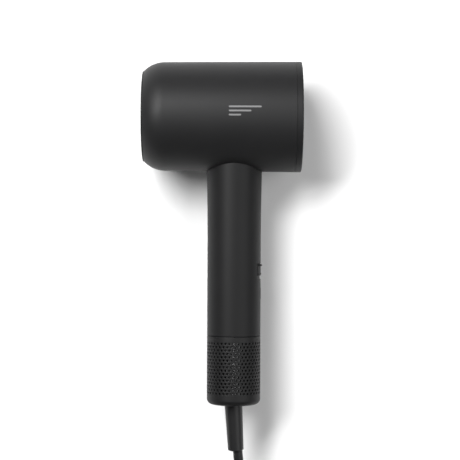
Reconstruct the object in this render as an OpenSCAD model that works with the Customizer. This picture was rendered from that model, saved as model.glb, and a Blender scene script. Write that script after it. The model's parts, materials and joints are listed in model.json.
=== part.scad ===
// Handheld hair dryer with its motor in the handle, lying on its side.
// +X runs along the barrel from the air outlet to the rear cover, -Y runs down the handle,
// +Z points up from the surface that the dryer lies on. The origin is the middle of the
// dryer's footprint, on that surface. All sizes are in millimetres.

/* [Barrel] */
// Outer diameter of the barrel at its rear rim
barrel_d = 80; // [79:0.5:81]
// Length of the barrel, from the outlet flange to the rear rim
barrel_len = 114.7; // [114:0.1:116]
// Draft of the barrel's side, in degrees, narrowing towards the outlet
barrel_draft = 0.41; // [0.3:0.01:0.7]
// Radius of the rounding that leads to the outlet
nose_r = 21.3; // [21:0.1:22]
// Length of that rounding along the barrel
nose_len = 14.9; // [14.5:0.1:15.2]
// Wall of the barrel shell
barrel_wall = 2; // [1.8:0.1:2.1]

/* [Outlet] */
// Radius of the socket that a nozzle plugs into
socket_r = 26.6; // [26.5:0.05:26.7]
// Depth of that socket
socket_depth = 7; // [6:0.5:7.5]
// Vanes in the outlet grille
outlet_vanes = 12; // [8:1:16]

/* [Handle] */
// Outer diameter of the handle's grip
handle_d = 38.7; // [38.5:0.1:38.9]
// Distance from the barrel's axis to the handle's end
handle_reach = 208.3; // [208:0.1:209]
// Distance from the handle's axis to the barrel's rear rim
handle_setback = 48.3; // [47:0.1:50]
// How much wider the handle's neck is on each side, where it meets the barrel
neck_flare = 0.6; // [0:0.1:0.8]

/* [Intake cage] */
// Length of the perforated cage that pulls off the handle's end
cage_len = 49.8; // [49.5:0.1:50]
// Rows of holes along the cage
hole_rows = 16; // [8:1:16]
// Holes in each row
hole_columns = 40; // [20:1:42]
// Diameter of each hole
hole_d = 1.6; // [1:0.1:1.7]

/* [Controls] */
// Travel of the power slider
slider_travel = 2; // [1:0.5:2]
// Travel of the cool shot button
cool_travel = 1.2; // [0.6:0.1:1.2]
// Travel of the two rear buttons
key_travel = 0.8; // [0.4:0.1:0.8]

/* [Mains lead] */
// Diameter of the lead
cord_d = 7; // [6.5:0.1:7]
// Turns in each of the coil's two layers
coil_turns = 3.25; // [2.25:1:4.25]

/* [Hidden] */
$fn = 96;
eps = 0.01;

// Places
axis_z = barrel_d / 2;
x_front = -barrel_len / 2;
x_rear = barrel_len / 2;
handle_x = x_rear - handle_setback;
barrel_y = (handle_reach - barrel_d / 2) / 2;

// Barrel
flange_t = 0.9;
x_nose = x_front + flange_t;
x_tangent = x_nose + nose_len;
ring_len = 4.4;
seam = 0.1;
x_shell_end = x_rear - ring_len;
barrel_inner_r = barrel_d / 2 - barrel_wall;
function barrel_r(x) = barrel_d / 2 - tan(barrel_draft) * (x_rear - x);

// Outlet
bezel_r = socket_r + 1.5;
ledge_r = 22.3;
ledge_t = 2.5;
x_ledge = x_front + socket_depth;
x_duct_front = x_ledge + ledge_t + 0.1;
duct_r = socket_r - 0.1;
duct_wall = 1.3;
x_duct_rear = x_rear - 24;
emitter_r = 1.2;

// Heater
x_heater = x_duct_front + 5;
heater_len = 40;
heater_turns = 6;
heater_pitch = 4.6;
heater_coil_r = 21.2;
heater_wire_r = 1.2;
mica_t = 0.8;

// Rear controls
cover_t = 2;
x_cover = x_rear - 0.8 - cover_t;
cover_r = 36;
key_r = 4;
key_spread = 13;
board_t = 1.6;
x_board = x_rear - 11.2;
board_boss_r = 27.5;
screw_r = 0.95;

// Handle
grip_r = handle_d / 2;
grip_wall = 1.7;
grip_inner_r = grip_r - grip_wall;
t_grip_end = handle_reach - cage_len;
t_flare_end = 95;
chassis_r = grip_inner_r - 0.2;
chassis_wall = 1.2;
chassis_inner_r = chassis_r - chassis_wall;

// Power slider and cool shot button
t_slider = 106.6;
slider_len = 8.6;
slider_half_angle = 30;
pad_r = grip_r + 0.02;
recess_r = grip_r - 0.7;
ridge_r = grip_r + 1.1;
ridge_len = 1.7;
bump_r = grip_r + 0.35;
t_bump = t_slider + slider_len - 2;
stem_t = t_slider + 2.3;
stem_len = 3.8;
lever_t = stem_t + stem_len / 2;
t_cool = 128;
cool_r = 4.2;
x_main_board = 8.4;

// Motor
t_motor = 60;
motor_len = 41;
motor_r = 14.4;
shaft_r = 1.5;
bearing_r = 4;
running_gap = 0.03;
t_impeller = t_motor + 34.6;

// Intake
cage_r = grip_r;
cage_wall = 1.2;
cage_corner = 4;
gland_r = 9.2;
frame_r = 16.6;
row_pitch = 2.385;
t_first_row = t_grip_end + 5.1;

// Mains lead: each route is [x, y, z] in the dryer's frame, on round numbers
cord_r = cord_d / 2;
relief_r = 6.7;
relief_root_r = 6.5;
relief_end_r = 5.7;
relief_base = [handle_x, barrel_y - handle_reach, axis_z];
relief_tip = [10.9, -157.6, 37.4];
lead_route = [
    [12.2, -157.6, 37.4], [12.7, -163.5, 36.6], [13.4, -170, 35.2], [14.6, -178, 32.6], [16.8, -188, 28],
    [20.4, -198, 22.8], [25, -208.5, 16.8], [30.2, -219, 11.6], [35.6, -229.5, 7.6], [40.6, -240.5, 5.1],
    [44.8, -253, 3.9], [48.1, -267, 3.6], [49.6, -282, 3.6]
];
coil_outer_r = 51.6;
coil_gap = cord_d + 0.1;
coil_inner_r = coil_outer_r - coil_turns * coil_gap;
coil_x = 49.6 - coil_outer_r;
coil_y = -282;
tail_route = [
    [-53.6, -282, 10.65], [-53.7, -273, 10.5], [-53.7, -265, 10.4], [-53.6, -257, 10.6], [-53.5, -249, 11.3],
    [-53.5, -242, 12.1], [-53.5, -236, 12.5]
];
plug_at = [-53.5, -236, 12.5];
plug_len = 36;

// ------------------------------------------------------------------ frames and shared shapes

// Local z runs along the barrel's axis from outlet to rear, and is the dryer's own x
module about_barrel() {
    translate([0, barrel_y, axis_z]) rotate([0, 90, 0]) children();
}

// Local z runs down the handle from the barrel's axis, x is the dryer's x and y points up
module about_handle() {
    translate([handle_x, barrel_y, axis_z]) rotate([90, 0, 0]) children();
}

module tube(r_out, r_in, from, to) {
    rotate_extrude() translate([r_in, from]) square([r_out - r_in, to - from]);
}

module rod(r, from, to) {
    translate([0, 0, from]) cylinder(r = r, h = to - from);
}

// A tube with rounded rims
module soft_tube(r_out, r_in, from, to, e) {
    rotate_extrude() translate([r_in, from]) soft_square(r_out - r_in, to - from, e);
}

module soft_square(w, h, e) {
    translate([e, 0]) square([w - 2 * e, h]);
    translate([0, e]) square([w, h - 2 * e]);
    for (x = [e, w - e], y = [e, h - e]) translate([x, y]) circle(r = e, $fn = 32);
}

// A block along the local x axis, centred in y, from t0 to t1 in z
module block(x0, x1, width, t0, t1) {
    translate([x0, -width / 2, t0]) cube([x1 - x0, width, t1 - t0]);
}

module around(count, start = 0) {
    for (i = [0 : count - 1]) rotate([0, 0, start + i * 360 / count]) children();
}

// Pie-shaped wedge about +x, for cutting a curved pad out of a tube
module wedge(half_angle, r, from, to) {
    translate([0, 0, from]) linear_extrude(to - from)
        polygon([[0, 0], [r, -r * tan(half_angle)], [r, r * tan(half_angle)]]);
}

// ------------------------------------------------------------------ sweeping a round lead

function unit(v) = v / norm(v);
function along(p, i) = unit(p[min(i + 1, len(p) - 1)] - p[max(i - 1, 0)]);
function side(d) = unit(cross(abs(d.z) > 0.9 ? [1, 0, 0] : [0, 0, 1], d));
function lead_ring(p, i, r, n) =
    let (d = along(p, i), u = side(d), v = cross(d, u))
    [for (k = [0 : n - 1]) p[i] + r * cos(360 * k / n) * u + r * sin(360 * k / n) * v];

module swept(points, r, n) {
    last = len(points) - 1;
    polyhedron(
        points = [for (i = [0 : last], q = lead_ring(points, i, r, n)) q],
        faces = concat(
            [[for (k = [0 : n - 1]) k]],
            [for (i = [0 : last - 1], k = [0 : n - 1])
                [i * n + k, (i + 1) * n + k, (i + 1) * n + (k + 1) % n, i * n + (k + 1) % n]],
            [[for (k = [0 : n - 1]) last * n + n - 1 - k]]
        ),
        convexity = 8
    );
}

// ------------------------------------------------------------------ barrel

// Half section of the barrel, moved in by inset, between two places along its axis
module barrel_section(inset, from, to) {
    n = [cos(barrel_draft), -sin(barrel_draft)];
    middle = [barrel_r(x_tangent), x_tangent] - (nose_r - eps) * n;
    intersection() {
        polygon([
            [0, from], [barrel_r(from) - inset / n.x, from],
            [barrel_r(to) - inset / n.x, to], [0, to]
        ]);
        union() {
            translate(middle) circle(r = nose_r - inset, $fn = 180);
            translate([0, from]) square([middle.x, to - from]);
            translate([0, middle.y]) square([barrel_d, to - middle.y]);
        }
    }
}

module barrel_shell() {
    color("#2f2f30") difference() {
        about_barrel() rotate_extrude() difference() {
            barrel_section(0, x_nose, x_shell_end);
            barrel_section(barrel_wall, x_nose - 1, x_shell_end + 1);
            translate([barrel_r(x_shell_end), x_shell_end]) rotate(45) square(0.2, center = true);
        }
        about_handle() rod(chassis_r + 0.15, 20, 60);
    }
}

module rear_ring() {
    edge = 1;
    r = barrel_d / 2;
    x0 = x_shell_end + seam;
    color("#2b2b2c") about_barrel() {
        rotate_extrude() difference() {
            union() {
                translate([cover_r + 0.2, x0]) square([r - edge - cover_r - 0.2, x_rear - x0]);
                translate([r - 2, x0]) square([2, x_rear - edge - x0]);
                translate([r - edge, x_rear - edge]) circle(r = edge, $fn = 48);
            }
            translate([r, x0]) rotate(45) square(0.2, center = true);
        }
        tube(barrel_inner_r - 0.3, cover_r + 0.2, x_shell_end - 4.4, x0 + eps);
        tube(cover_r + 0.2 + eps, cover_r - 2.5, x_cover - 2.2, x_cover - 0.1);
    }
}

module rear_cover() {
    color("#262627") about_barrel() difference() {
        union() {
            soft_tube(cover_r, eps, x_cover, x_cover + cover_t, 0.4);
            around(3, 90) translate([board_boss_r, 0, 0]) rod(2.6, x_board + board_t + 0.1, x_cover + eps);
        }
        tube(31, 30.2, x_cover + cover_t - 0.5, x_cover + cover_t + 1);
        for (s = [-1, 1]) {
            translate([s * key_spread, 0, 0]) rod(key_r + 0.15, x_cover - 1, x_rear);
            indicator_places(s) rod(0.95, x_cover - 1, x_rear);
        }
        around(3, 90) translate([board_boss_r, 0, 0]) rod(screw_r + 0.05, x_board, x_cover - 1);
    }
}

// Three small lamps in an arc above each rear button
module indicator_places(side) {
    for (a = [-30, 0, 30])
        translate([side * key_spread + 8 * sin(a), 8 * cos(a), 0]) children();
}

module indicator_lenses() {
    color("#d9dde0") about_barrel() for (s = [-1, 1]) indicator_places(s) {
        rod(0.85, x_cover + 0.2, x_cover + cover_t - 0.05);
        rod(1.3, x_board + board_t + 2, x_cover - 0.1);
        rod(0.85, x_cover - 0.2, x_cover + 0.3);
    }
}

// A push button through the rear cover, on one side of the barrel's axis
module key(side) {
    x_face = x_cover + cover_t + 0.3;
    about_barrel() translate([side * key_spread, 0, 0]) {
        rotate_extrude() difference() {
            union() {
                translate([0, x_cover - 0.6]) square([key_r, x_face - x_cover]);
                translate([0, x_cover]) square([key_r - 0.6, x_face - x_cover]);
                translate([key_r - 0.6, x_face - 0.6]) circle(r = 0.6, $fn = 32);
            }
            translate([0, x_face + 17.6]) circle(r = 18, $fn = 180);
        }
        rod(key_r + 0.8, x_cover - 1.4, x_cover - 0.6 + eps);
        rod(1.2, x_board + board_t + 2.4, x_cover - 1.4 + eps);
    }
}

module speed_button() { color("#3a3a3b") key(-1); }

module heat_button() { color("#3a3a3b") key(1); }

module control_board() {
    color("#1f5a3a") about_barrel() difference() {
        rod(31, x_board, x_board + board_t);
        around(3, 90) translate([board_boss_r, 0, 0]) rod(screw_r + 0.15, x_board - 1, x_board + 3);
        rod(5, x_board - 1, x_board + 3);
    }
}

module control_switches() {
    color("#8d9094") about_barrel() for (s = [-1, 1]) {
        x0 = x_board + board_t;
        translate([s * key_spread - 3, -3, x0]) cube([6, 6, 1]);
        translate([s * key_spread, 0, 0]) rod(1.5, x0 + 1 - eps, x0 + 1.5);
    }
}

module control_board_screws() {
    color("silver") about_barrel() around(3, 90) translate([board_boss_r, 0, 0]) difference() {
        union() {
            rod(2.1, x_board - 1.4, x_board);
            rod(screw_r, x_board - eps, x_board + board_t + 5);
        }
        translate([-1.2, -0.2, x_board - 2]) cube([2.4, 0.4, 1.1]);
        translate([-0.2, -1.2, x_board - 2]) cube([0.4, 2.4, 1.1]);
    }
}

// ------------------------------------------------------------------ outlet and heater

module magnet_places() {
    around(8, 22.5) translate([24.45, 0, 0]) children();
}

module outlet_bezel() {
    color("#1d1d1e") about_barrel() difference() {
        union() {
            soft_tube(nose_edge_r() - 0.4, socket_r, x_front, x_nose - 0.02, 0.3);
            tube(bezel_r, socket_r, x_front + 0.3, x_duct_front + 5);
            tube(socket_r + eps, ledge_r, x_ledge, x_ledge + ledge_t);
        }
        magnet_places() rod(1.8, x_ledge + 0.5, x_ledge + ledge_t + 1);
    }
}

// Radius of the shell's front edge, where its rounding ends
function nose_edge_r() =
    barrel_r(x_tangent) - nose_r * cos(barrel_draft)
    + sqrt(nose_r * nose_r - pow(nose_len + nose_r * sin(barrel_draft), 2));

module outlet_magnets() {
    color("#b9bcc0") about_barrel() magnet_places() rod(1.75, x_ledge + 0.55, x_ledge + ledge_t - 0.05);
}

module outlet_grille() {
    hub_r = 7.5;
    x0 = x_duct_front;
    color("#161617") about_barrel() difference() {
        union() {
            tube(duct_r - duct_wall - 0.15, ledge_r, x0, x0 + 3);
            tube(15.6, 14.6, x0, x0 + 4);
            translate([0, 0, x0 - 1.5]) cylinder(r1 = 4, r2 = hub_r, h = 1.5);
            rod(hub_r, x0 - eps, x0 + 5);
            around(outlet_vanes) block(hub_r - 0.5, ledge_r + 0.5, 0.9, x0, x0 + 3);
        }
        rod(emitter_r + 0.1, x0 - 3, x0 + 6);
    }
}

module ion_emitter() {
    x0 = x_duct_front;
    color("gold") about_barrel() {
        rod(emitter_r, x0 - 1, x0 + 4.9);
        translate([0, 0, x0 - 2.6]) cylinder(r1 = 0.15, r2 = emitter_r, h = 1.6 + eps);
    }
}

module ion_generator() {
    color("#101010") translate([-20, barrel_y + duct_r + 0.5, axis_z - 8]) cube([26, 8.2, 16]);
}

module air_duct() {
    corner = 8;
    color("#3c3c3e") difference() {
        about_barrel() rotate_extrude() difference() {
            duct_outline(duct_r, x_duct_rear, corner);
            translate([0, -1])
                duct_outline(duct_r - duct_wall, x_duct_rear - duct_wall + 1, corner - duct_wall);
        }
        about_handle() rod(chassis_inner_r, 5, 60);
    }
}

// Half section of the duct's outside: open in front, rounded behind
module duct_outline(r, x_end, corner) {
    translate([0, x_duct_front]) square([r, x_end - corner - x_duct_front]);
    translate([0, x_duct_front]) square([r - corner, x_end - x_duct_front]);
    translate([r - corner, x_end - corner]) circle(r = corner);
}

module heater_liner() {
    r = duct_r - duct_wall - 0.1;
    color("#c9b98f") about_barrel() tube(r, r - 0.4, x_heater - 1, x_heater + heater_len - 8);
}

// Crossed mica boards, notched where the coil passes
module heater_frame() {
    r = duct_r - duct_wall - 0.7;
    color("#d8cba6") about_barrel() difference() {
        for (a = [0, 90]) rotate([0, 0, a]) block(-r, r, mica_t, x_heater, x_heater + heater_len - 6);
        for (arm = [0 : 3], turn = [0 : heater_turns])
            rotate([0, 0, arm * 90])
                translate([heater_coil_r - 2.2, -1, heater_x(turn + arm / 4) - 1.7]) cube([6, 2, 3.4]);
    }
}

function heater_x(turn) = x_heater + 2.4 + heater_pitch * turn;

// Outer shape of the wound heating wire
module heater_coil() {
    steps = 18;
    route = [for (i = [0 : heater_turns * steps])
        let (a = 360 * i / steps)
        [heater_coil_r * cos(a), heater_coil_r * sin(a), heater_x(i / steps)]];
    color("#9a8f80") about_barrel() swept(route, heater_wire_r, 6);
}

module thermostat() {
    color("silver") about_barrel() translate([12, mica_t / 2 + 0.05, x_heater + 30]) rotate([-90, 0, 0]) {
        cylinder(r = 3.2, h = 2.4);
        translate([0, 0, 2.4 - eps]) cylinder(r = 2.4, h = 1.4);
    }
}

module thermal_fuse() {
    color("white") about_barrel() translate([-12, mica_t / 2 + 1.8, 0]) {
        rod(1.6, x_heater + 24, x_heater + 32);
        rod(0.4, x_heater + 20, x_heater + 33.5);
    }
}

// ------------------------------------------------------------------ handle

// Radius of the grip at a distance t from the barrel's axis
function grip_at(t) = grip_r + neck_flare * pow(max(0, (t_flare_end - t) / (t_flare_end - barrel_d / 2)), 2);

module handle_shell() {
    flare = [for (t = [30 : 5 : t_flare_end]) [grip_at(t), t]];
    edge = 0.3;
    color("#2f2f30") difference() {
        about_handle() rotate_extrude() polygon(concat(
            flare,
            [[grip_r, t_grip_end - edge], [grip_r - edge, t_grip_end - 0.1],
             [grip_inner_r, t_grip_end - 0.1], [grip_inner_r, 30]]
        ));
        about_barrel() rotate_extrude() polygon([
            [0, x_tangent], [barrel_r(x_tangent) + 0.15, x_tangent],
            [barrel_r(x_shell_end) + 0.15, x_shell_end], [0, x_shell_end]
        ]);
        about_handle() {
            slider_recess();
            block(12, 22, 5.4, stem_t - 0.3, stem_t + stem_len + slider_travel + 0.3);
            translate([12, 0, t_cool]) rotate([0, 90, 0]) cylinder(r = cool_r + 0.15, h = 10);
        }
    }
}

module slider_recess() {
    t0 = t_slider - 0.3;
    t1 = t_slider + slider_len + slider_travel + 0.3;
    intersection() {
        tube(grip_r + 3, recess_r, t0, t1);
        wedge(slider_half_angle + 2, 30, t0, t1);
    }
}

module handle_chassis() {
    color("#4a4a4d") difference() {
        about_handle() tube(chassis_r, chassis_inner_r, 16, t_grip_end - 0.2);
        about_barrel() rod(duct_r + 0.1, x_front, x_rear);
        about_handle() block(5, 22, 12, t_slider - 3, t_cool + 7);
    }
}

module power_slider() {
    color("#343435") about_handle() difference() {
        union() {
            intersection() {
                tube(pad_r, recess_r + 0.15, t_slider, t_slider + slider_len);
                wedge(slider_half_angle, 30, t_slider - 1, t_slider + slider_len + 1);
            }
            intersection() {
                union() {
                    soft_tube(ridge_r, recess_r + 0.3, t_slider, t_slider + ridge_len, 0.5);
                    soft_tube(bump_r, recess_r + 0.3, t_bump, t_bump + 1.3, 0.3);
                }
                wedge(slider_half_angle - 2, 30, t_slider - 1, t_slider + slider_len + 1);
            }
            block(13.6, recess_r + 0.4, 4.6, stem_t, stem_t + stem_len);
        }
        block(13, 15.3, 2.7, lever_t - 1.15, lever_t + 1.15);
    }
}

module switch_lever() {
    color("white") about_handle() block(12.1, 15.1, 2.3, lever_t - 0.95, lever_t + 0.95);
}

module slide_switch() {
    x0 = x_main_board + board_t;
    color("silver") about_handle() difference() {
        block(x0, x0 + 3.2, 7, t_slider + 0.2, t_slider + 11.2);
        block(x0 + 1.6, x0 + 4, 2.8, lever_t - 1.3, lever_t + slider_travel + 1.3);
    }
}

module cool_shot_button() {
    color("#3f4346") about_handle() intersection() {
        translate([0, 0, t_cool]) rotate([0, 90, 0]) {
            rod(cool_r, 15.6, 21);
            rod(cool_r + 0.9, 15.2, 16.2);
            rod(1.3, 13.4, 15.6);
        }
        rod(grip_r + 0.1, t_cool - 8, t_cool + 8);
    }
}

module cool_shot_switch() {
    x0 = x_main_board + board_t;
    color("#8d9094") about_handle() {
        block(x0, x0 + 1.6, 6, t_cool - 3, t_cool + 3);
        translate([0, 0, t_cool]) rotate([0, 90, 0]) rod(1.5, x0 + 1.6 - eps, x0 + 2.1);
    }
}

module main_board() {
    color("#1f5a3a") about_handle() block(x_main_board, x_main_board + board_t, 24, 105.5, 155);
}

module main_capacitor() {
    color("#22304a") about_handle() translate([2.6, 5, 0]) soft_tube(5, eps, 109, 131, 0.6);
}

module filter_choke() {
    color("#b06a35") about_handle() translate([x_main_board - 0.1, -5, 141]) rotate([0, -90, 0])
        soft_tube(5, 2, 0, 4, 1);
}

module board_chips() {
    color("#151515") about_handle() {
        for (t = [109, 116, 123]) translate([x_main_board - 2.5, -10, t]) cube([2.5, 6, 5]);
        translate([x_main_board - 1.6, 2, 134]) cube([1.6, 8, 8]);
    }
}

module terminal_block() {
    color("#dddddd") about_handle() block(x_main_board - 7, x_main_board, 10, 148.5, 154.5);
}

module supply_leads() {
    color("#6b4a2b") about_handle() for (y = [-2.4, 2.4])
        translate([x_main_board - 4, y, 0]) rod(1.1, 154.5, handle_reach - 6.6);
}

// ------------------------------------------------------------------ motor

module motor_housing() {
    color("#55585c") about_handle() difference() {
        union() {
            tube(motor_r, motor_r - 1, t_motor, t_motor + motor_len);
            around(3) block(bearing_r, motor_r - 0.5, 2, t_motor, t_motor + 2.5);
            rod(bearing_r + 1.2, t_motor, t_motor + 5);
        }
        rod(bearing_r + running_gap, t_motor + 1, t_motor + 6);
        rod(shaft_r + 0.6, t_motor - 1, t_motor + 2);
    }
}

module sleeve(from, to) {
    color("#1a1a1a") about_handle() difference() {
        soft_tube(chassis_inner_r - 0.1, motor_r + 0.1, from, to, 0.5);
        around(8) block(chassis_inner_r - 0.6, 20, 2, from - 1, to + 1);
    }
}

module motor_sleeve_upper() { sleeve(t_motor + 1, t_motor + 7); }

module motor_sleeve_lower() { sleeve(t_motor + 33, t_motor + 39); }

module bearing(from) {
    color("silver") about_handle() soft_tube(bearing_r, shaft_r + running_gap, from, from + 3, 0.2);
}

module motor_bearing_upper() { bearing(t_motor + 1.5); }

module motor_bearing_lower() { bearing(t_motor + 29); }

module diffuser() {
    hub_r = 8;
    t0 = t_motor + 27;
    color("#7a7d81") about_handle() difference() {
        union() {
            rod(hub_r, t0, t0 + 6.8);
            tube(motor_r - 1.1, motor_r - 1.8, t0, t0 + 6.8);
            around(11) rotate([0, 0, 8]) block(hub_r - 0.5, motor_r - 1.4, 0.8, t0 + 0.5, t0 + 6.3);
        }
        rod(bearing_r + running_gap, t0 - 1, t0 + 5.1);
        rod(shaft_r + 0.6, t0, t0 + 8);
    }
}

module stator_core() {
    color("#8b8e92") about_handle() {
        tube(motor_r - 1.2, 10.2, t_motor + 10, t_motor + 22);
        around(4, 45) block(5.2, 10.3, 3, t_motor + 10, t_motor + 22);
    }
}

module stator_coils() {
    color("#b4652c") about_handle() around(4, 45) difference() {
        block(6.2, 9.6, 6.4, t_motor + 8, t_motor + 24);
        block(6, 10, 3.1, t_motor + 9.9, t_motor + 22.1);
    }
}

module motor_shaft() {
    color("silver") about_handle() rod(shaft_r, t_motor + 1.6, t_impeller + 7);
}

module rotor_magnet() {
    color("#6c6f73") about_handle() tube(4.6, shaft_r, t_motor + 8.5, t_motor + 23.5);
}

module impeller() {
    color("#c7cacd") about_handle() difference() {
        union() {
            translate([0, 0, t_impeller]) cylinder(r1 = 8, r2 = 3, h = 6);
            around(11) intersection() {
                rotate([38, 0, 0]) translate([2.5, -0.35, t_impeller - 12]) cube([10.1, 0.7, 24]);
                rod(12.6, t_impeller + 0.3, t_impeller + 5.7);
            }
        }
        rod(shaft_r, t_impeller - 1, t_impeller + 8);
    }
}

// ------------------------------------------------------------------ intake

module filter_frame() {
    t1 = handle_reach - 5.1;
    color("#232324") about_handle() difference() {
        union() {
            tube(frame_r, frame_r - 1.2, t_grip_end + 0.1, t1);
            tube(chassis_r, frame_r - 1.2, t_grip_end, t_grip_end + 0.9);
        }
        for (row = [0 : 2])
            around(8, 22.5) block(10, 20, 8, t_grip_end + 6 + row * 12, t_grip_end + 15 + row * 12);
    }
}

module filter_mesh() {
    color("#6f7376") about_handle() tube(frame_r + 0.45, frame_r + 0.1, t_grip_end + 4.6, handle_reach - 7);
}

module cage_seal() {
    color("#111111") about_handle()
        soft_tube(cage_r - cage_wall - 0.1, frame_r + 0.1, t_grip_end + 1.6, t_grip_end + 3.8, 0.4);
}

// Staggered rows of holes, cut from inside the wall outwards
module cage_holes() {
    for (row = [0 : hole_rows - 1], i = [0 : hole_columns - 1])
        translate([0, 0, t_first_row + row * row_pitch])
            rotate([0, 90, (i + (row % 2) / 2) * 360 / hole_columns])
                translate([0, 0, grip_r - 3]) cylinder(r = hole_d / 2, h = 5, $fn = 16);
}

module cage_outline(r, from, to, corner) {
    translate([0, from]) square([r, to - corner - from]);
    translate([0, from]) square([r - corner, to - from]);
    translate([r - corner, to - corner]) circle(r = corner);
}

module intake_cage() {
    color("#29292a") about_handle() difference() {
        rotate_extrude() difference() {
            cage_outline(cage_r, t_grip_end + 0.25, handle_reach, cage_corner);
            cage_outline(cage_r - cage_wall, t_grip_end - 1, handle_reach - 1.5, cage_corner - cage_wall);
            translate([0, handle_reach - 5]) square([gland_r + 0.3, 10]);
        }
        cage_holes();
    }
}

module cable_gland() {
    t0 = handle_reach - 5;
    color("#1d1d1e") about_handle() difference() {
        union() {
            rod(frame_r - 1.4, t0, t0 + 3.2);
            soft_tube(gland_r, eps, t0 + 1, handle_reach, 0.6);
        }
        rod(relief_r + 0.1, t0 - 1, handle_reach + 1);
    }
}

// ------------------------------------------------------------------ mains lead

// Turns local z onto the line from one point to another
module towards(from, to) {
    d = to - from;
    translate(from) rotate([0, acos(d.z / norm(d)), atan2(d.y, d.x)]) children();
}

module strain_relief() {
    root = handle_reach - 6.6;
    d = norm(relief_tip - relief_base);
    color("#222223") {
        about_handle() {
            rod(8.4, root, root + 1.5);
            rod(relief_r, root, handle_reach + 0.1);
        }
        towards(relief_base, relief_tip) translate([0, 0, -1])
            cylinder(r1 = relief_root_r, r2 = relief_end_r, h = d + 1);
    }
}

module cord_lead() {
    color("#1c1c1d") swept(lead_route, cord_r, 10);
}

// The outer shape of the wound lead
module cord_coil() {
    color("#1c1c1d") translate([coil_x, coil_y, 0])
        soft_tube(coil_outer_r + cord_r, coil_inner_r - cord_r, 0, 2 * cord_d + 0.1, cord_r - 0.2);
}

module coil_tie() {
    r0 = coil_inner_r - cord_r - 0.1;
    r1 = coil_outer_r + cord_r + 0.1;
    color("#111111") translate([coil_x, coil_y, 0]) rotate([0, 0, -45]) {
        for (r = [r0 - 1.8, r1]) translate([r, -6, 0]) cube([0.9, 12, 2 * cord_d + 0.6]);
        translate([r0 - 1.8, -6, 2 * cord_d + 0.2]) cube([r1 - r0 + 2.7, 12, 0.9]);
    }
}

module cord_tail() {
    color("#1c1c1d") swept(tail_route, cord_r, 10);
}

// Two-pin mains plug, lying flat
module plug_body() {
    color("#1a1a1b") translate(plug_at) rotate([-90, 0, 0]) {
        translate([0, 0, -0.5]) cylinder(r1 = 5, r2 = 10.5, h = 14);
        translate([0, 0, 13]) linear_extrude(plug_len - 13) plug_face(36, 25);
    }
}

// A wide flat face with rounded ends
module plug_face(w, h) {
    square([w - h, h], center = true);
    for (s = [-1, 1]) translate([s * (w - h) / 2, 0]) circle(d = h);
}

module plug_pins() {
    color("silver") translate(plug_at) rotate([-90, 0, 0])
        for (s = [-1, 1]) translate([s * 9.5, 0, 0]) rod(2.4, plug_len, plug_len + 19);
}

barrel_shell();
rear_ring();
rear_cover();
speed_button();
heat_button();
indicator_lenses();
control_board();
control_switches();
control_board_screws();
outlet_bezel();
outlet_magnets();
outlet_grille();
ion_emitter();
ion_generator();
air_duct();
heater_liner();
heater_frame();
heater_coil();
thermostat();
thermal_fuse();
handle_shell();
handle_chassis();
power_slider();
switch_lever();
slide_switch();
cool_shot_button();
cool_shot_switch();
main_board();
main_capacitor();
filter_choke();
board_chips();
terminal_block();
supply_leads();
motor_housing();
motor_sleeve_upper();
motor_sleeve_lower();
motor_bearing_upper();
motor_bearing_lower();
diffuser();
stator_core();
stator_coils();
motor_shaft();
rotor_magnet();
impeller();
filter_frame();
filter_mesh();
cage_seal();
intake_cage();
cable_gland();
strain_relief();
cord_lead();
cord_coil();
coil_tie();
cord_tail();
plug_body();
plug_pins();
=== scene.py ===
import json
import math

import bmesh
import bpy
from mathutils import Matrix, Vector


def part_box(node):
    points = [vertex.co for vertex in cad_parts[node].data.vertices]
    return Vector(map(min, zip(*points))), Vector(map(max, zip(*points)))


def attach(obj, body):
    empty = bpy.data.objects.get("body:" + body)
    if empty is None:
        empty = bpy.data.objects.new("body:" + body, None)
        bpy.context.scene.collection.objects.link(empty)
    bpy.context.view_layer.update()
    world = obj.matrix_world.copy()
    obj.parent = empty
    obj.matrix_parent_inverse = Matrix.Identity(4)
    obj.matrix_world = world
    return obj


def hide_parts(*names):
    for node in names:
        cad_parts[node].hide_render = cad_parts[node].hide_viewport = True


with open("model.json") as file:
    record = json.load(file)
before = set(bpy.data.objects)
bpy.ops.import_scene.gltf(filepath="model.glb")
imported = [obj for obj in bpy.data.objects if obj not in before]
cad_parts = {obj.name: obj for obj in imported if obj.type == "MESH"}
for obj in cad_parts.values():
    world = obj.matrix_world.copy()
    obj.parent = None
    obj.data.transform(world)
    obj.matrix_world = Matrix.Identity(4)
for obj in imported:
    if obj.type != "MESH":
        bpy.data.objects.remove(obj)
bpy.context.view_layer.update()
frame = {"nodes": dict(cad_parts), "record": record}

MM = 0.001

# ---------------------------------------------------------------- places, read from the CAD frame

_lo, _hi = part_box("rear_ring")
BARREL_Y, AXIS_Z = (_lo.y + _hi.y) / 2, (_lo.z + _hi.z) / 2
X_REAR = _hi.x
SHELL_X0, SHELL_X1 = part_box("barrel_shell")[0].x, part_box("barrel_shell")[1].x
_lo, _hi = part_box("intake_cage")
HANDLE_X = (_lo.x + _hi.x) / 2
CAGE_R = (_hi.x - _lo.x) / 2
CAGE_T0, CAGE_T1 = BARREL_Y - _hi.y, BARREL_Y - _lo.y
GRIP_END_T = BARREL_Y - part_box("handle_shell")[0].y
BARREL_R = 40 * MM
DRAFT = math.radians(0.41)  # the barrel narrows by this much towards the outlet
GRIP_R = 19.35 * MM


def barrel_r(x):
    return BARREL_R - math.tan(DRAFT) * (X_REAR - x)


def about_barrel(x, y, z):
    """Local z runs along the barrel's axis, towards the rear."""
    return Vector((z, BARREL_Y + x, AXIS_Z + y))


def about_handle(x, y, z):
    """Local x is the dryer's x, local z runs down the handle from the barrel's axis."""
    return Vector((HANDLE_X + x, BARREL_Y - z, AXIS_Z + y))


# ---------------------------------------------------------------- camera

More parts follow.
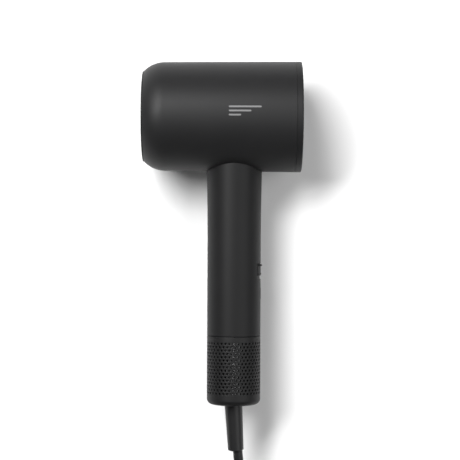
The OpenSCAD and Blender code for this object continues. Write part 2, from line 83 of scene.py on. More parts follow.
CAMERA_PLACE = (6 * MM, 1.98 * MM, 1.08)  # straight above, looking down
CAMERA_ROLL = math.radians(0.25)
FOCAL_LENGTH, SENSOR_WIDTH = 112.1, 36

camera = bpy.data.objects.new("camera", bpy.data.cameras.new("camera"))
bpy.context.scene.collection.objects.link(camera)
camera.location = CAMERA_PLACE
camera.rotation_euler = (0, 0, CAMERA_ROLL)
camera.data.lens = FOCAL_LENGTH
camera.data.sensor_width = SENSOR_WIDTH
camera.data.clip_start, camera.data.clip_end = 0.05, 20
bpy.context.scene.camera = camera

# ---------------------------------------------------------------- mesh helpers


def new_mesh(name, verts, faces, angle=35):
    mesh = bpy.data.meshes.new(name)
    mesh.from_pydata([tuple(v) for v in verts], [], faces)
    mesh.validate()
    mesh.update()
    mesh.polygons.foreach_set("use_smooth", [True] * len(mesh.polygons))
    mesh.set_sharp_from_angle(angle=math.radians(angle))
    obj = bpy.data.objects.new(name, mesh)
    bpy.context.scene.collection.objects.link(obj)
    return obj


def even_normals(obj):
    mod = obj.modifiers.new("even_normals", "WEIGHTED_NORMAL")
    mod.keep_sharp = True
    mod.weight = 100
    return obj


def rounded(corners, steps=6):
    """A profile with filleted corners. Each corner is (r, s, fillet radius), in millimetres."""
    out = []
    n = len(corners)
    for i, (r, s, fillet) in enumerate(corners):
        here = Vector((r, s))
        if fillet <= 0:
            out.append(here)
            continue
        a = Vector(corners[i - 1][:2]) - here
        b = Vector(corners[(i + 1) % n][:2]) - here
        half = a.angle(b) / 2
        cut = min(fillet / math.tan(half), a.length * 0.49, b.length * 0.49)
        radius = cut * math.tan(half)
        middle = here + (a.normalized() + b.normalized()).normalized() * (radius / math.sin(half))
        start, end = here + a.normalized() * cut - middle, here + b.normalized() * cut - middle
        turn = start.angle_signed(end)
        for k in range(steps + 1):
            c, q = math.cos(-turn * k / steps), math.sin(-turn * k / steps)
            out.append(middle + Vector((c * start.x - q * start.y, q * start.x + c * start.y)))
    return [(p.x, p.y) for p in out]


def lathe(name, profile, place, segments=128, closed=True):
    """Turns a profile of (r, s), in millimetres, about local z. A closed profile is a ring's section."""
    verts, faces, rings = [], [], []
    for r, s in profile:
        if abs(r) < 1e-6:
            rings.append([len(verts)] * segments)
            verts.append(place(0, 0, s * MM))
            continue
        rings.append(list(range(len(verts), len(verts) + segments)))
        for k in range(segments):
            a = 2 * math.pi * k / segments
            verts.append(place(r * MM * math.cos(a), r * MM * math.sin(a), s * MM))
    pairs = list(zip(rings, rings[1:]))
    if closed:
        pairs.append((rings[-1], rings[0]))
    for low, high in pairs:
        for k in range(segments):
            m = (k + 1) % segments
            quad = [low[k], low[m], high[m], high[k]]
            face = [v for i, v in enumerate(quad) if v != quad[i - 1]]
            if len(face) > 2:
                faces.append(face)
    obj = new_mesh(name, verts, faces)
    fix_outside(obj)
    return even_normals(obj)


def fix_outside(obj):
    """Turns the faces outwards."""
    bm = bmesh.new()
    bm.from_mesh(obj.data)
    bmesh.ops.recalc_face_normals(bm, faces=bm.faces)
    bm.to_mesh(obj.data)
    bm.free()


# ---------------------------------------------------------------- materials

BUMP_STRENGTH = 0.6


def node_material(name):
    mat = bpy.data.materials.new(name)
    mat.use_nodes = True
    tree = mat.node_tree
    return mat, tree, tree.nodes["Principled BSDF"]


def add_noise(tree, scale, detail=4.0, stretch=None):
    coords = tree.nodes.new("ShaderNodeTexCoord")
    noise = tree.nodes.new("ShaderNodeTexNoise")
    noise.inputs["Scale"].default_value = scale
    noise.inputs["Detail"].default_value = detail
    if stretch is None:
        tree.links.new(coords.outputs["Object"], noise.inputs["Vector"])
    else:
        mapping = tree.nodes.new("ShaderNodeMapping")
        mapping.inputs["Scale"].default_value = stretch
        tree.links.new(coords.outputs["Object"], mapping.inputs["Vector"])
        tree.links.new(mapping.outputs["Vector"], noise.inputs["Vector"])
    return noise


def add_ramp(tree, source, low, high, at=(0.3, 0.7)):
    ramp = tree.nodes.new("ShaderNodeValToRGB")
    ramp.color_ramp.elements[0].position, ramp.color_ramp.elements[1].position = at
    ramp.color_ramp.elements[0].color = (*low, 1)
    ramp.color_ramp.elements[1].color = (*high, 1)
    tree.links.new(source, ramp.inputs["Fac"])
    return ramp.outputs["Color"]


def surface(name, colour, roughness, metallic=0.0, spread=0.12, rough_spread=0.05, patch=40.0,
            grain=2500.0, bump=0.02, stretch=None, coat=0.0, specular=0.5):
    """Uneven colour at one scale, and a grain of roughness and bump, in mm deep, at a finer one."""
    mat, tree, shader = node_material(name)
    shader.inputs["Metallic"].default_value = metallic
    shader.inputs["Coat Weight"].default_value = coat
    shader.inputs["Specular IOR Level"].default_value = specular
    patches = add_noise(tree, patch, 5.0)
    low = [c * (1 - spread) for c in colour]
    high = [min(1, c * (1 + spread)) for c in colour]
    tree.links.new(add_ramp(tree, patches.outputs["Fac"], low, high), shader.inputs["Base Color"])
    fine = add_noise(tree, grain, 3.0, stretch)
    rough = add_ramp(tree, fine.outputs["Fac"], [roughness - rough_spread] * 3,
                     [roughness + rough_spread] * 3)
    tree.links.new(rough, shader.inputs["Roughness"])
    if bump:
        node = tree.nodes.new("ShaderNodeBump")
        node.inputs["Strength"].default_value = BUMP_STRENGTH
        node.inputs["Distance"].default_value = bump * MM
        tree.links.new(fine.outputs["Fac"], node.inputs["Height"])
        tree.links.new(node.outputs["Normal"], shader.inputs["Normal"])
    return mat


MATERIALS = {
    "shell_plastic": surface("shell_plastic", (0.011, 0.011, 0.0115), 0.5, spread=0.06,
                             bump=0.012, specular=0.23),
    "trim_plastic": surface("trim_plastic", (0.01, 0.01, 0.0105), 0.5, spread=0.06,
                            bump=0.012, specular=0.23),
    "cage_plastic": surface("cage_plastic", (0.0065, 0.0065, 0.0068), 0.5, spread=0.06,
                            bump=0.01, specular=0.23),
    "key_plastic": surface("key_plastic", (0.006, 0.006, 0.0063), 0.6, spread=0.06,
                           bump=0.012, specular=0.2),
    "lens": surface("lens", (0.75, 0.77, 0.8), 0.2, spread=0.04, bump=0.0, coat=0.3),
    "board": surface("board", (0.02, 0.12, 0.06), 0.35, spread=0.15, patch=300, bump=0.01),
    "switch_metal": surface("switch_metal", (0.6, 0.6, 0.61), 0.35, 1.0, bump=0.01),
    "steel": surface("steel", (0.56, 0.56, 0.57), 0.3, 1.0, bump=0.01),
    "magnet": surface("magnet", (0.68, 0.68, 0.69), 0.2, 1.0, spread=0.05, bump=0.005),
    "grille_plastic": surface("grille_plastic", (0.02, 0.02, 0.021), 0.55, spread=0.1, bump=0.02),
    "gold": surface("gold", (0.8, 0.58, 0.28), 0.25, 1.0, spread=0.05, bump=0.005),
    "potting": surface("potting", (0.018, 0.018, 0.018), 0.3, spread=0.2, bump=0.05, grain=800),
    "duct_plastic": surface("duct_plastic", (0.06, 0.06, 0.063), 0.55, bump=0.02),
    "mica": surface("mica", (0.55, 0.47, 0.3), 0.35, spread=0.25, patch=250, bump=0.02),
    "heater_wire": surface("heater_wire", (0.3, 0.27, 0.24), 0.45, 1.0, spread=0.25, patch=400),
    "ceramic": surface("ceramic", (0.8, 0.79, 0.75), 0.6, spread=0.05, bump=0.02),
    "chassis_plastic": surface("chassis_plastic", (0.08, 0.08, 0.085), 0.5, bump=0.02),
    "white_plastic": surface("white_plastic", (0.75, 0.75, 0.72), 0.45, spread=0.04, bump=0.01),
    "capacitor_sleeve": surface("capacitor_sleeve", (0.02, 0.035, 0.08), 0.25, spread=0.1, bump=0.0),
    "copper": surface("copper", (0.6, 0.27, 0.12), 0.3, 1.0, grain=1500, stretch=(1, 14, 1), bump=0.08),
    "black_epoxy": surface("black_epoxy", (0.02, 0.02, 0.02), 0.5, bump=0.02),
    "wire_jacket": surface("wire_jacket", (0.2, 0.1, 0.05), 0.4, spread=0.05, bump=0.01),
    "motor_metal": surface("motor_metal", (0.38, 0.39, 0.41), 0.4, 1.0, stretch=(1, 20, 1), bump=0.01),
    "aluminium": surface("aluminium", (0.78, 0.79, 0.8), 0.28, 1.0, bump=0.01),
    "rubber": surface("rubber", (0.022, 0.022, 0.022), 0.75, bump=0.03, specular=0.35),
    "mesh_steel": surface("mesh_steel", (0.13, 0.13, 0.133), 0.3, 1.0, grain=1500, bump=0.03),
    "cord_jacket": surface("cord_jacket", (0.01, 0.01, 0.0105), 0.42, spread=0.08, patch=90, grain=1800,
                           bump=0.02, specular=0.35),
    "strap": surface("strap", (0.02, 0.02, 0.021), 0.9, grain=1600, bump=0.2, specular=0.2),
    "pin_metal": surface("pin_metal", (0.75, 0.73, 0.68), 0.22, 1.0, spread=0.06, bump=0.004),
}

for part in frame["record"]["subparts"]:
    cad = frame["nodes"][part["node"]]
    cad.data.materials.clear()
    cad.data.materials.append(MATERIALS[part["material_slot"]])


def dress(obj, slot, body="dryer", stands_for=(), finish=None):
    """Gives a piece its slot's material or the finish given, puts it in its body and hides the CAD nodes
    that it stands for.
    """
    obj.data.materials.clear()
    obj.data.materials.append(finish or MATERIALS[slot])
    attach(obj, body)
    if stands_for:
        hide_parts(*stands_for)
    return obj


# ---------------------------------------------------------------- mains lead

CORD_D, CORD_LENGTH = 7, 1.83  # millimetres, metres; the routes repeat the CAD's, in millimetres
LEAD = [
    (12.2, -157.6, 37.4), (12.7, -163.5, 36.6), (13.4, -170, 35.2), (14.6, -178, 32.6), (16.8, -188, 28),
    (20.4, -198, 22.8), (25, -208.5, 16.8), (30.2, -219, 11.6), (35.6, -229.5, 7.6), (40.6, -240.5, 5.1),
    (44.8, -253, 3.9), (48.1, -267, 3.6), (49.6, -282, 3.6),
]
TAIL = [
    (-53.6, -282, 10.65), (-53.7, -273, 10.5), (-53.7, -265, 10.4), (-53.6, -257, 10.6), (-53.5, -249, 11.3),
    (-53.5, -242, 12.1), (-53.5, -236, 12.5),
]
COIL_CENTRE = (-2, -282)
COIL_R, COIL_PITCH, COIL_TURNS = 51.6, 7.1, 3.25
LAYERS = (3.6, 10.65)
POINTS_PER_TURN = 48
CLIMB_TURNS = 0.3  # the share of a turn over which the lead rises onto the upper layer


def coil_points():
    """Clockwise and inwards on the lower layer, then outwards on top of it."""
    points = []
    steps = int(COIL_TURNS * POINTS_PER_TURN)
    inner = COIL_R - COIL_PITCH * COIL_TURNS
    for i in range(1, 2 * steps):
        turns = COIL_TURNS * i / steps
        if turns <= COIL_TURNS:
            r = COIL_R - COIL_PITCH * turns
        else:
            r = inner + COIL_PITCH * (turns - COIL_TURNS)
        rise = min(1, max(0, (turns - COIL_TURNS) / CLIMB_TURNS + 0.5))
        z = LAYERS[0] + (LAYERS[1] - LAYERS[0]) * rise * rise * (3 - 2 * rise)
        a = -2 * math.pi * turns
        points.append((COIL_CENTRE[0] + r * math.cos(a), COIL_CENTRE[1] + r * math.sin(a), z))
    return points


def smooth_through(points, steps=6):
    """A smooth line through points, as denser points."""
    p = [Vector(q) for q in points]
    p = [2 * p[0] - p[1]] + p + [2 * p[-1] - p[-2]]
    out = []
    for i in range(1, len(p) - 2):
        a, b, c, d = p[i - 1], p[i], p[i + 1], p[i + 2]
        for k in range(steps):
            t = k / steps
            out.append(0.5 * (2 * b + (c - a) * t + (2 * a - 5 * b + 4 * c - d) * t ** 2
                              + (3 * b - a - 3 * c + d) * t ** 3))
    return out + [p[-2]]


def tube_curve(name, points, diameter):
    curve = bpy.data.curves.new(name, "CURVE")
    curve.dimensions = "3D"
    curve.bevel_depth = diameter / 2 * MM
    curve.bevel_resolution = 6
    curve.use_fill_caps = True
    spline = curve.splines.new("POLY")
    spline.points.add(len(points) - 1)
    for point, place in zip(spline.points, points):
        point.co = (place[0] * MM, place[1] * MM, place[2] * MM, 1)
    spline.use_smooth = True
    obj = bpy.data.objects.new(name, curve)
    bpy.context.scene.collection.objects.link(obj)
    return obj


route = smooth_through(LEAD) + [Vector(q) for q in coil_points()] + smooth_through(TAIL)

# A plug's rows: how far along it, half the width of its flat middle, and the radius of its rounded sides
PLUG_NECK = [
    (-0.5, 0, 4.4), (-0.2, 0, 4.85), (0.4, 0, 5.1), (2.5, 0, 5.7), (4, 0, 6.3), (6, 0, 7.1), (8, 0, 8),
    (10, 0.4, 8.9), (11.5, 1.3, 9.8), (12.8, 2.8, 10.7), (13.8, 4.1, 11.5), (14.8, 5, 12.1),
    (16, 5.4, 12.4), (17.5, 5.5, 12.5),
]
PLUG_FACE = [
    (33, 5.5, 12.5), (34.6, 5.5, 12.5), (35.2, 5.5, 12.38), (35.7, 5.5, 12), (35.95, 5.5, 11.5),
    (36, 5.5, 10.9),
]
GROOVES_FROM, GROOVE_STEP, GROOVE_STEPS, STEPS_PER_GROOVE, GROOVE_DEPTH = 19, 0.5, 25, 6, 0.45


def plug_shell():
    """Moulded plug: a round neck that swells into a wide body with rounded ends and grip grooves."""
    x, y, z = TAIL[-1]
    _, half_flat, side_r = PLUG_NECK[-1]
    grooves = []
    for k in range(GROOVE_STEPS):
        dip = GROOVE_DEPTH * (0.5 - 0.5 * math.cos(2 * math.pi * k / STEPS_PER_GROOVE))
        grooves.append((GROOVES_FROM + GROOVE_STEP * k, half_flat, side_r - dip))
    rows = PLUG_NECK + grooves + PLUG_FACE
    verts, faces, n = [], [], 64
    for s, half, r in rows:
        for k in range(n):
            a = 2 * math.pi * (k + 0.5) / n
            across = r * math.cos(a) + math.copysign(half, math.cos(a))
            verts.append(((x + across) * MM, (y + s) * MM, (z + r * math.sin(a)) * MM))
    for i in range(len(rows) - 1):
        for k in range(n):
            m = (k + 1) % n
            faces.append([i * n + k, i * n + m, (i + 1) * n + m, (i + 1) * n + k])
    faces.append(list(range(n))[::-1])
    faces.append([(len(rows) - 1) * n + k for k in range(n)])
    obj = new_mesh("plug_shell", verts, faces, 40)
    fix_outside(obj)
    return even_normals(obj)


TIE_TOP, TIE_THICK, TIE_HALF_WIDTH = 15.1, 0.9, 6.0
TIE_ANGLE = math.radians(-45)  # where on the coil the strap is


def tie_band():
    """Hook-and-loop strap folded over the coil, with rounded corners and rolled edges."""
    inner = COIL_R - COIL_PITCH * COIL_TURNS - CORD_D / 2 - 1.9
    outer, top, thick, half = COIL_R + CORD_D / 2 + 1.0, TIE_TOP, TIE_THICK, TIE_HALF_WIDTH
    outside = rounded([(inner, 0, 0), (inner, top, 3.4), (outer, top, 3.4), (outer, 0, 0)], 8)
    inside = rounded([(inner + thick, 0, 0), (inner + thick, top - thick, 2.5),
                      (outer - thick, top - thick, 2.5), (outer - thick, 0, 0)], 8)
    n, verts, faces = len(outside), [], []
    a = TIE_ANGLE
    widths = [(-half, 0.3), (-half + 0.12, 0.12), (-half + 0.4, 0.0), (-half + 1, 0.1), (half - 1, 0.1),
              (half - 0.4, 0.0), (half - 0.12, 0.12), (half, 0.3)]
    for w, inset in widths:
        share = inset / thick
        for near, far in ((outside, inside), (inside, outside)):
            for (r0, z0), (r1, z1) in zip(near, far):
                r, z = r0 + (r1 - r0) * share, z0 + (z1 - z0) * share
                verts.append(((COIL_CENTRE[0] + r * math.cos(a) - w * math.sin(a)) * MM,
                              (COIL_CENTRE[1] + r * math.sin(a) + w * math.cos(a)) * MM, z * MM))
    for i in range(len(widths) - 1):
        lo, hi = 2 * n * i, 2 * n * (i + 1)
        for k in range(n - 1):
            faces.append([lo + k, lo + k + 1, hi + k + 1, hi + k])
            faces.append([lo + n + k + 1, lo + n + k, hi + n + k, hi + n + k + 1])
        for k in (0, n - 1):
            faces.append([lo + k, hi + k, hi + n + k, lo + n + k])
    for base in (0, 2 * n * (len(widths) - 1)):
        for k in range(n - 1):
            faces.append([base + k, base + k + 1, base + n + k + 1, base + n + k])
    obj = new_mesh("coil_tie_band", verts, faces, 40)
    fix_outside(obj)
    return even_normals(obj)


plug = dress(plug_shell(), "cord_jacket", stands_for=("plug_body",))
tie = dress(tie_band(), "strap", stands_for=("coil_tie",))
cord = tube_curve("mains_lead", route, CORD_D)
dress(cord, "cord_jacket", stands_for=("cord_lead", "cord_coil", "cord_tail"))

# ---------------------------------------------------------------- barrel

NOSE_R, NOSE_LEN, BARREL_WALL = 21.3, 14.9, 2.0
FRONT_EDGE, REAR_EDGE = 0.12, 0.1  # the chamfers at the wall's two ends


def spread(low, high, count):
    return [low + (high - low) * i / (count - 1) for i in range(count)]


def barrel_profile():
    """The wall's section: a rounded nose, then a side that widens towards the rear."""
    x0, x1 = SHELL_X0 / MM, SHELL_X1 / MM
    x_tangent = x0 + NOSE_LEN
    r_tangent = barrel_r(x_tangent * MM) / MM
    centre_r = r_tangent - NOSE_R * math.cos(DRAFT)
    centre_x = x_tangent + NOSE_R * math.sin(DRAFT)

    def nose(radius, start):
        first = math.asin((centre_x - start) / radius)
        return [(centre_r + radius * math.cos(a), centre_x - radius * math.sin(a))
                for a in spread(first, DRAFT, 40)]

    r_end = barrel_r(x1 * MM) / MM
    outer = nose(NOSE_R, x0 + FRONT_EDGE)
    side = [(barrel_r(x * MM) / MM, x) for x in spread(x_tangent, x1 - REAR_EDGE, 12)[1:]]
    inner = nose(NOSE_R - BARREL_WALL, x0)
    return ([(outer[0][0] - FRONT_EDGE, x0)] + outer + side
            + [(r_end - REAR_EDGE, x1), (r_end - BARREL_WALL, x1)] + inner[::-1])


dress(lathe("barrel", barrel_profile(), about_barrel, 256), "shell_plastic", stands_for=("barrel_shell",))

# ---------------------------------------------------------------- printed lines

LINE_W, INK_LIFT = 1.2, 0.03
PRINTED_LINES = ((4.8, 27.8, 88.4), (4.8, 20.6, 85.5), (4.8, 13.4, 82.6))  # from x, to x, at y


def printed_lines():
    """Three short lines of grey ink on top of the barrel, each one shorter than the last."""
    verts, faces = [], []
    half = LINE_W / 2
    for x0, x1, y in PRINTED_LINES:
        outline = [(x1 - half + half * math.cos(a), y + half * math.sin(a))
                   for a in spread(-math.pi / 2, math.pi / 2, 9)]
        outline += [(x0 + half + half * math.cos(a), y + half * math.sin(a))
                    for a in spread(math.pi / 2, 3 * math.pi / 2, 9)]
        n, first = len(outline), len(verts)
        for lift in (INK_LIFT, -INK_LIFT):
            for x, yy in outline:
                r = barrel_r(x * MM) / MM + lift
                off = yy - BARREL_Y / MM
                verts.append(about_barrel(off * MM, math.sqrt(r * r - off * off) * MM, x * MM))
        top = list(range(first, first + n))
        faces.append(top)
        faces.append([v + n for v in reversed(top)])
        faces += [[v, v + n, first + n + (k + 1) % n, first + (k + 1) % n] for k, v in enumerate(top)]
    return new_mesh("printed_lines", verts, faces, 30)


dress(printed_lines(), "white_plastic",
      finish=surface("print_ink", (0.15, 0.15, 0.152), 0.55, spread=0.04, bump=0.0))

# ---------------------------------------------------------------- handle

# t is the distance down the handle from the barrel's axis, in millimetres
FLARE, FLARE_START_T, FLARE_END_T, GRIP_INNER_R = 0.6, 40, 95.0, 17.65
RECESS = {"t": 111.9, "half_t": 5.6, "half_u": 10.05, "corner": 0.5, "depth": 0.7, "edge": 0.4}
HOLE_T, HOLE_R = 128.0, 4.35
SADDLE_GAP = 0.08  # between the handle's top edge and the barrel
ARC_R = 18.6  # the recess and the button hole are measured round a circle of this radius
CONTROLS_ANGLE = math.radians(38)  # the mesh is fine within this angle of the controls
UPPER_END_T, FINE_START_T, FINE_END_T = 60, 104, 134
LIP = ((0.22, 0.0), (0.1, 0.06), (0.03, 0.16), (0.0, 0.32))  # inset and drop of the top edge
FOOT_LIP = ((0.04, 0.12), (0.14, 0.03), (0.3, 0.0))  # inset and rise of the bottom edge
UPPER_ROWS = 16


def grip_at(t):
    return GRIP_R / MM + FLARE * (max(0, FLARE_END_T - t) / (FLARE_END_T - FLARE_START_T)) ** 2


def saddle_t(angle, radius=None):
    """How far down the handle's own axis the barrel's surface is, at an angle about the handle."""
    t = 38.0
    for _ in range(6):
        r = radius or grip_at(t)
        x, z = HANDLE_X / MM + r * math.cos(angle), r * math.sin(angle)
        surface_r = barrel_r(x * MM) / MM + SADDLE_GAP
        t = math.sqrt(surface_r ** 2 - z ** 2)
    return t


def step_down(distance, width):
    """1 inside an outline and 0 outside it, over a narrow edge."""
    w = min(1, max(0, 0.5 - distance / width))
    return w * w * (3 - 2 * w)


def recess_depth(angle, t):
    """How deep the slider's recess is at a place on the handle."""
    u = abs(angle) * ARC_R
    du = u - RECESS["half_u"] + RECESS["corner"]
    dt = abs(t - RECESS["t"]) - RECESS["half_t"] + RECESS["corner"]
    distance = math.hypot(max(du, 0), max(dt, 0)) + min(max(du, dt), 0) - RECESS["corner"]
    return RECESS["depth"] * step_down(distance, RECESS["edge"])


def around_hole(angle, t):
    """Moves a grid point that lies near the button hole's rim onto the rim."""
    y, s = ARC_R * math.sin(angle), t - HOLE_T
    distance = math.hypot(y, s)
    in_front = abs(angle) < 0.6
    if in_front and abs(distance - HOLE_R) < 0.14:
        y, s = y * HOLE_R / distance, s * HOLE_R / distance
        return math.asin(y / ARC_R), HOLE_T + s, True
    return angle, t, in_front and distance < HOLE_R


def handle_grip():
    """The handle's wall, saddled onto the barrel, with the slider's recess and the button's hole."""
    half = spread(0, CONTROLS_ANGLE, 115)
    rest = spread(CONTROLS_ANGLE, math.radians(180), 49)[1:]
    angles = [-a for a in reversed(rest[:-1])] + [-a for a in reversed(half[1:])] + half + rest
    end = GRIP_END_T / MM
    body_t = (spread(UPPER_END_T, FINE_START_T, 19) + spread(FINE_START_T, FINE_END_T, 136)[1:]
              + spread(FINE_END_T, end - 0.3, 9)[1:])
    verts, inside, outer_rows, inner_rows = [], [], [], []

    def add(angle, r, t, hole=False):
        verts.append(about_handle(r * math.cos(angle) * MM, r * math.sin(angle) * MM, t * MM))
        inside.append(hole)
        return len(verts) - 1

    tops = [saddle_t(a) for a in angles]
    inner_tops = [saddle_t(a, GRIP_INNER_R) for a in angles]
    lip_end = LIP[-1][1]
    for inset, down in LIP:
        outer_rows.append([add(a, grip_at(s + down) - inset, s + down) for a, s in zip(angles, tops)])
    for w in spread(0, 1, UPPER_ROWS)[1:-1]:
        row = []
        for a, s in zip(angles, tops):
            t = s + lip_end + (UPPER_END_T - s - lip_end) * w
            row.append(add(a, grip_at(t), t))
        outer_rows.append(row)
    body_start = len(outer_rows)
    for t in body_t:
        row = []
        for a in angles:
            moved, tt, hole = around_hole(a, t)
            row.append(add(moved, grip_at(tt) - recess_depth(moved, tt), tt, hole))
        outer_rows.append(row)
    for inset, up in FOOT_LIP:
        outer_rows.append([add(a, grip_at(end) - inset, end - up) for a in angles])
    for index in range(len(outer_rows)):
        row = []
        for k, a in enumerate(angles):
            outer = verts[outer_rows[index][k]]
            t = (BARREL_Y - outer.y) / MM
            if index < len(LIP):
                t = inner_tops[k] + LIP[index][1]
            elif index < body_start:
                share = index - len(LIP) + 1
                t = (inner_tops[k] + lip_end
                     + (UPPER_END_T - inner_tops[k] - lip_end) * share / (UPPER_ROWS - 1))
            hole = inside[outer_rows[index][k]]
            angle = math.atan2(outer.z - AXIS_Z, outer.x - HANDLE_X)
            row.append(add(angle, GRIP_INNER_R, t, hole))
        inner_rows.append(row)
    faces = []
    n = len(angles)

    def open_here(row, k):
        m = (k + 1) % n
        return all(inside[outer_rows[r][c]] for r in (row, row + 1) for c in (k, m))

    for r in range(len(outer_rows) - 1):
        for k in range(n):
            m = (k + 1) % n
            o0, o1, i0, i1 = outer_rows[r], outer_rows[r + 1], inner_rows[r], inner_rows[r + 1]
            if open_here(r, k):
                continue
            faces.append([o0[k], o0[m], o1[m], o1[k]])
            faces.append([i0[m], i0[k], i1[k], i1[m]])
            if body_start < r < len(outer_rows) - 5:
                if open_here(r, (k - 1) % n):
                    faces.append([o0[k], o1[k], i1[k], i0[k]])
                if open_here(r, m):
                    faces.append([o1[m], o0[m], i0[m], i1[m]])
                if open_here(r - 1, k):
                    faces.append([o0[m], o0[k], i0[k], i0[m]])
                if open_here(r + 1, k):
                    faces.append([o1[k], o1[m], i1[m], i1[k]])
    for k in range(n):
        m = (k + 1) % n
        faces.append([outer_rows[0][m], outer_rows[0][k], inner_rows[0][k], inner_rows[0][m]])
        faces.append([outer_rows[-1][k], outer_rows[-1][m], inner_rows[-1][m], inner_rows[-1][k]])
    obj = new_mesh("handle_grip", verts, faces, 30)
    fix_outside(obj)
    return even_normals(obj)


# The handle's finish is a darker copy of the shell plastic: painted shade that makes the handle look less
# lit than the barrel.
dress(handle_grip(), "shell_plastic", stands_for=("handle_shell",),
      finish=surface("grip_plastic_painted_shade", (0.0087, 0.0087, 0.0091), 0.5, spread=0.06, bump=0.012, specular=0.18))

# ---------------------------------------------------------------- perforated cage

HOLE_ROWS, HOLE_COLUMNS, CAGE_HOLE_R = 16, 40, 0.8
ROW_PITCH, FIRST_ROW_T, CAGE_WALL = 2.385, 163.6, 1.2
CAGE_CORNER_R, CORD_HOLE_R, CAGE_FLOOR = 4.0, 9.5, 1.5


def cage():
    """The perforated shell. Each hole is a loop of 16 points in its own cell of the wall."""
    columns = HOLE_COLUMNS * 4
    outer_r = CAGE_R / MM
    inner_r = outer_r - CAGE_WALL
    top, bottom = CAGE_T0 / MM, CAGE_T1 / MM
    first = FIRST_ROW_T - ROW_PITCH / 2
    last = first + HOLE_ROWS * ROW_PITCH
    verts, faces, known = [], [], {}

    def add(column, r, t):
        a = 2 * math.pi * column / columns
        verts.append(about_handle(r * math.cos(a) * MM, r * math.sin(a) * MM, t * MM))
        return len(verts) - 1

    def shared(skin, column, t):
        column %= columns
        key = (skin, column, round(t, 4))
        if key not in known:
            known[key] = add(column, outer_r if skin == "outer" else inner_r, t)
        return known[key]

    def band(low, high):
        for k in range(columns):
            m = (k + 1) % columns
            faces.append([low[k], low[m], high[m], high[k]])

    for row in range(HOLE_ROWS):
        t0 = first + row * ROW_PITCH
        t1 = t0 + ROW_PITCH
        for i in range(HOLE_COLUMNS):
            c0 = 4 * i - 2 + 2 * (row % 2)
            outline = [(c0 + j, t0) for j in range(4)]
            outline += [(c0 + 4, t0 + ROW_PITCH * j / 4) for j in range(4)]
            outline += [(c0 + 4 - j, t1) for j in range(4)]
            outline += [(c0, t1 - ROW_PITCH * j / 4) for j in range(4)]
            middle_c, middle_t = c0 + 2, t0 + ROW_PITCH / 2
            arc = 2 * math.pi * outer_r / columns
            loops = [[shared("outer", c, t) for c, t in outline]]
            for r, hole in ((outer_r, 0.11), (outer_r - 0.04, 0.03), (outer_r - 0.12, 0), (inner_r, 0)):
                loop = []
                for c, t in outline:
                    a = math.atan2(t - middle_t, (c - middle_c) * arc)
                    radius = CAGE_HOLE_R + hole
                    loop.append(add(middle_c + radius * math.cos(a) / arc, r,
                                    middle_t + radius * math.sin(a)))
                loops.append(loop)
            loops.append([shared("inner", c, t) for c, t in outline])
            for a, b in zip(loops, loops[1:]):
                for k in range(16):
                    m = (k + 1) % 16
                    faces.append([a[k], a[m], b[m], b[k]])
    rim = [shared("outer", c, first) for c in range(columns)]
    for r, t in ((outer_r, top + 0.3), (outer_r - 0.09, top + 0.09), (outer_r - 0.3, top), (inner_r, top)):
        ring = [add(c, r, t) for c in range(columns)]
        band(rim, ring)
        rim = ring
    band(rim, [shared("inner", c, first) for c in range(columns)])
    rim = [shared("outer", c, last) for c in range(columns)]
    corner = CAGE_CORNER_R
    outside = [(outer_r, last + (bottom - corner - last) / 2)]
    outside += [(outer_r - corner + corner * math.cos(a), bottom - corner + corner * math.sin(a))
                for a in spread(0, math.pi / 2, 14)]
    outside += [(14, bottom), (12, bottom), (9.8, bottom), (9.58, bottom - 0.09),
                (CORD_HOLE_R, bottom - 0.3), (CORD_HOLE_R, bottom - CAGE_FLOOR)]
    within = corner - CAGE_WALL
    outside += [(inner_r - within + within * math.cos(a),
                 bottom - CAGE_FLOOR - within + within * math.sin(a))
                for a in spread(math.pi / 2, 0, 8)]
    for r, t in outside:
        ring = [add(c, r, t) for c in range(columns)]
        band(rim, ring)
        rim = ring
    band(rim, [shared("inner", c, last) for c in range(columns)])
    obj = new_mesh("intake_cage_shell", verts, faces, 30)
    fix_outside(obj)
    return even_normals(obj)


dress(cage(), "cage_plastic", "cage", stands_for=("intake_cage",))

# ---------------------------------------------------------------- strain relief

RELIEF_TIP = Vector((10.9, -157.6, 37.4)) * MM
RELIEF_BASE = Vector((HANDLE_X, BARREL_Y - CAGE_T1, AXIS_Z))


def along_relief(x, y, z):
    """Local z runs from the cage's foot to the sleeve's tip."""
    turn = (RELIEF_TIP - RELIEF_BASE).to_track_quat("Z", "X")
    return RELIEF_BASE + turn @ Vector((x, y, z))


def relief_profile():
    """A sleeve that narrows towards its closed tip."""
    length = (RELIEF_TIP - RELIEF_BASE).length / MM + 0.3
    return rounded([
        (0, -4.6, 0), (6.5, -4.6, 0.4), (6.5, 0, 0), (6.43, 3, 0), (6.24, 10, 0), (6, 19, 0),
        (5.7, length, 0.5), (0, length, 0),
    ], 5)


dress(lathe("strain_relief_sleeve", relief_profile(), along_relief, 96, closed=False), "cord_jacket",
      stands_for=("strain_relief",))

# ---------------------------------------------------------------- power slider

SLIDER_LEN, SLIDER_HALF = 8.6, math.radians(30.0)
SLIDER_FLOOR_R, SLIDER_EDGE_R = 18.8, 0.35
RIDGE = {"at": 0.95, "half": 0.72, "height": 1.05}
LOWER_BUMP = {"at": 7.25, "half": 0.6, "height": 0.34}


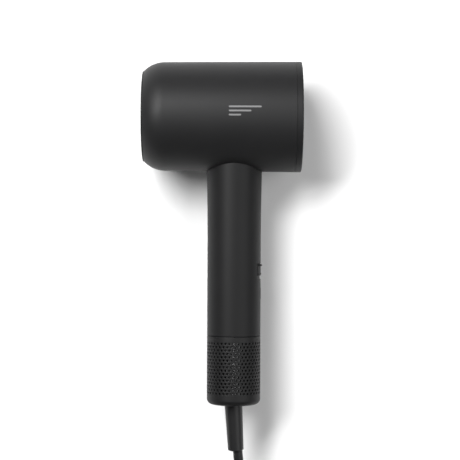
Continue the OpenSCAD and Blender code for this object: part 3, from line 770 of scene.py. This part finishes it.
def power_slider():
    """A curved pad with a ridge across its top end and a low bump near its other end."""
    t0 = (BARREL_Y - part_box("power_slider")[1].y) / MM
    pad, floor_r, half = GRIP_R / MM + 0.02, SLIDER_FLOOR_R, SLIDER_HALF
    angles = [half * v for v in (-1, -0.99, -0.975, -0.95)] + spread(-0.9 * half, 0.9 * half, 41)
    angles += [half * v for v in (0.95, 0.975, 0.99, 1)]
    ts = [0, 0.06, 0.18, 0.4] + spread(0.55, 2.2, 12) + spread(2.5, 6, 8) + spread(6.2, 8.1, 14)
    ts += [8.25, 8.42, 8.54, 8.6]
    verts, faces = [], []

    def height(angle, t):
        edge = min((half - abs(angle)) * pad, t, SLIDER_LEN - t)
        inside = SLIDER_EDGE_R - min(edge, SLIDER_EDGE_R)
        round_off = SLIDER_EDGE_R - math.sqrt(max(0, SLIDER_EDGE_R ** 2 - inside ** 2))
        fade = step_down(abs(angle) - half * 0.86, half * 0.12)
        ridge, bump = (form["height"] * math.exp(-((t - form["at"]) / form["half"]) ** 4) * fade
                       for form in (RIDGE, LOWER_BUMP))
        return pad + ridge + bump - round_off

    def grid(radius_at):
        rows = []
        for t in ts:
            row = []
            for a in angles:
                r = radius_at(a, t)
                verts.append(about_handle(r * math.cos(a) * MM, r * math.sin(a) * MM, (t0 + t) * MM))
                row.append(len(verts) - 1)
            rows.append(row)
        return rows

    rows, under = grid(height), grid(lambda a, t: floor_r)
    for i in range(len(ts) - 1):
        for k in range(len(angles) - 1):
            faces.append([rows[i][k], rows[i][k + 1], rows[i + 1][k + 1], rows[i + 1][k]])
            faces.append([under[i][k + 1], under[i][k], under[i + 1][k], under[i + 1][k + 1]])
    for i in range(len(ts) - 1):
        for k in (0, -1):
            faces.append([rows[i][k], rows[i + 1][k], under[i + 1][k], under[i][k]])
    for k in range(len(angles) - 1):
        for i in (0, -1):
            faces.append([rows[i][k], rows[i][k + 1], under[i][k + 1], under[i][k]])
    obj = new_mesh("power_slider_cap", verts, faces, 40)
    fix_outside(obj)
    return obj


dress(power_slider(), "key_plastic", "slider", stands_for=("power_slider",))

# ---------------------------------------------------------------- floor and light

floor_mesh = bpy.data.meshes.new("floor")
half_floor = 4
floor_mesh.from_pydata([(-half_floor, -half_floor, 0), (half_floor, -half_floor, 0),
                        (half_floor, half_floor, 0), (-half_floor, half_floor, 0)], [], [(0, 1, 2, 3)])
floor = bpy.data.objects.new("floor", floor_mesh)
bpy.context.scene.collection.objects.link(floor)
floor_mat, _, floor_shader = node_material("floor_paper")
floor_shader.inputs["Base Color"].default_value = (0.86, 0.86, 0.86, 1)
floor_shader.inputs["Roughness"].default_value = 0.9
floor_shader.inputs["Specular IOR Level"].default_value = 0.1
floor_mesh.materials.append(floor_mat)

LIGHTS_AIM_AT = (0, 0, 0.03)


def area_light(name, place, size, power):
    """A rectangular light, its place and size in metres and its power in watts."""
    data = bpy.data.lights.new(name, "AREA")
    data.shape = "RECTANGLE"
    data.size, data.size_y = size
    data.energy = power
    obj = bpy.data.objects.new(name, data)
    bpy.context.scene.collection.objects.link(obj)
    obj.location = place
    obj.rotation_euler = (Vector(LIGHTS_AIM_AT) - Vector(place)).to_track_quat("-Z", "Y").to_euler()


area_light("key_light", (-0.52, 0.5, 1.25), (0.95, 0.3), 24)
area_light("soft_light", (-0.6, 0.9, 1.05), (0.9, 0.6), 7.5)
area_light("small_light", (0.03, -0.02, 1.3), (0.07, 0.07), 0.8)
area_light("fill_light", (1.2, -0.05, 1.45), (1.4, 1.4), 16.5)

world = bpy.data.worlds.new("studio")
bpy.context.scene.world = world
world.use_nodes = True
world.node_tree.nodes["Background"].inputs["Color"].default_value = (1, 1, 1, 1)
world.node_tree.nodes["Background"].inputs["Strength"].default_value = 0.07
bpy.context.scene.view_settings.view_transform = "Standard"
